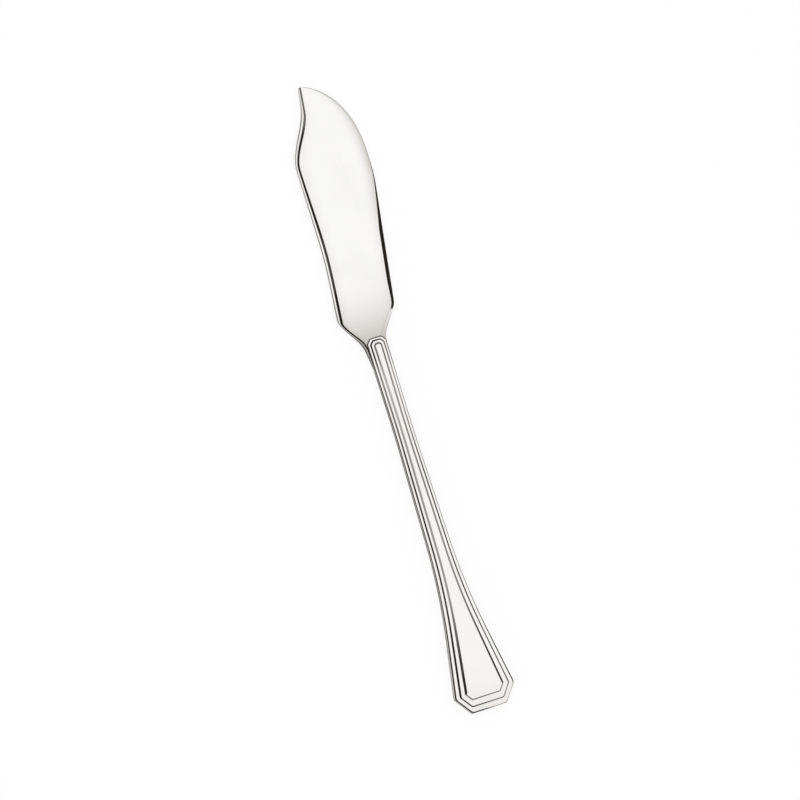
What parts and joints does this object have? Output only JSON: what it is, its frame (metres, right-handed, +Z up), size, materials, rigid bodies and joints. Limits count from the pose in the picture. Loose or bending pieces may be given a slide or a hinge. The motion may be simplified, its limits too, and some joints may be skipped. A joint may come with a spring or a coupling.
{
  "type": "fish knife",
  "caption": "Table fish knife with an S-edged blade, a slim neck and a flared, stepped hollow handle that lies flat on its back.",
  "frame": {"origin": "on the table under the neck, where the handle's relief meets the blade, on the flat back of the handle", "axes": "+X along the handle's axis towards the tip, +Y towards the cutting edge, +Z up from the table through the front face"},
  "size_m": [0.2013, 0.0251, 0.0042],
  "materials": {
    "blade_steel": "polished stainless steel",
    "handle_steel": "polished stainless steel, struck relief",
    "cement": "cast filling cement",
    "solder": "polished silver solder"
  },
  "bodies": {
    "root": {"blade": "blade_steel", "handle_front_shell": "handle_steel", "handle_back_shell": "handle_steel", "handle_filler": "cement", "seam_solder": "solder", "neck_solder": "solder"}
  },
  "joints": []
}
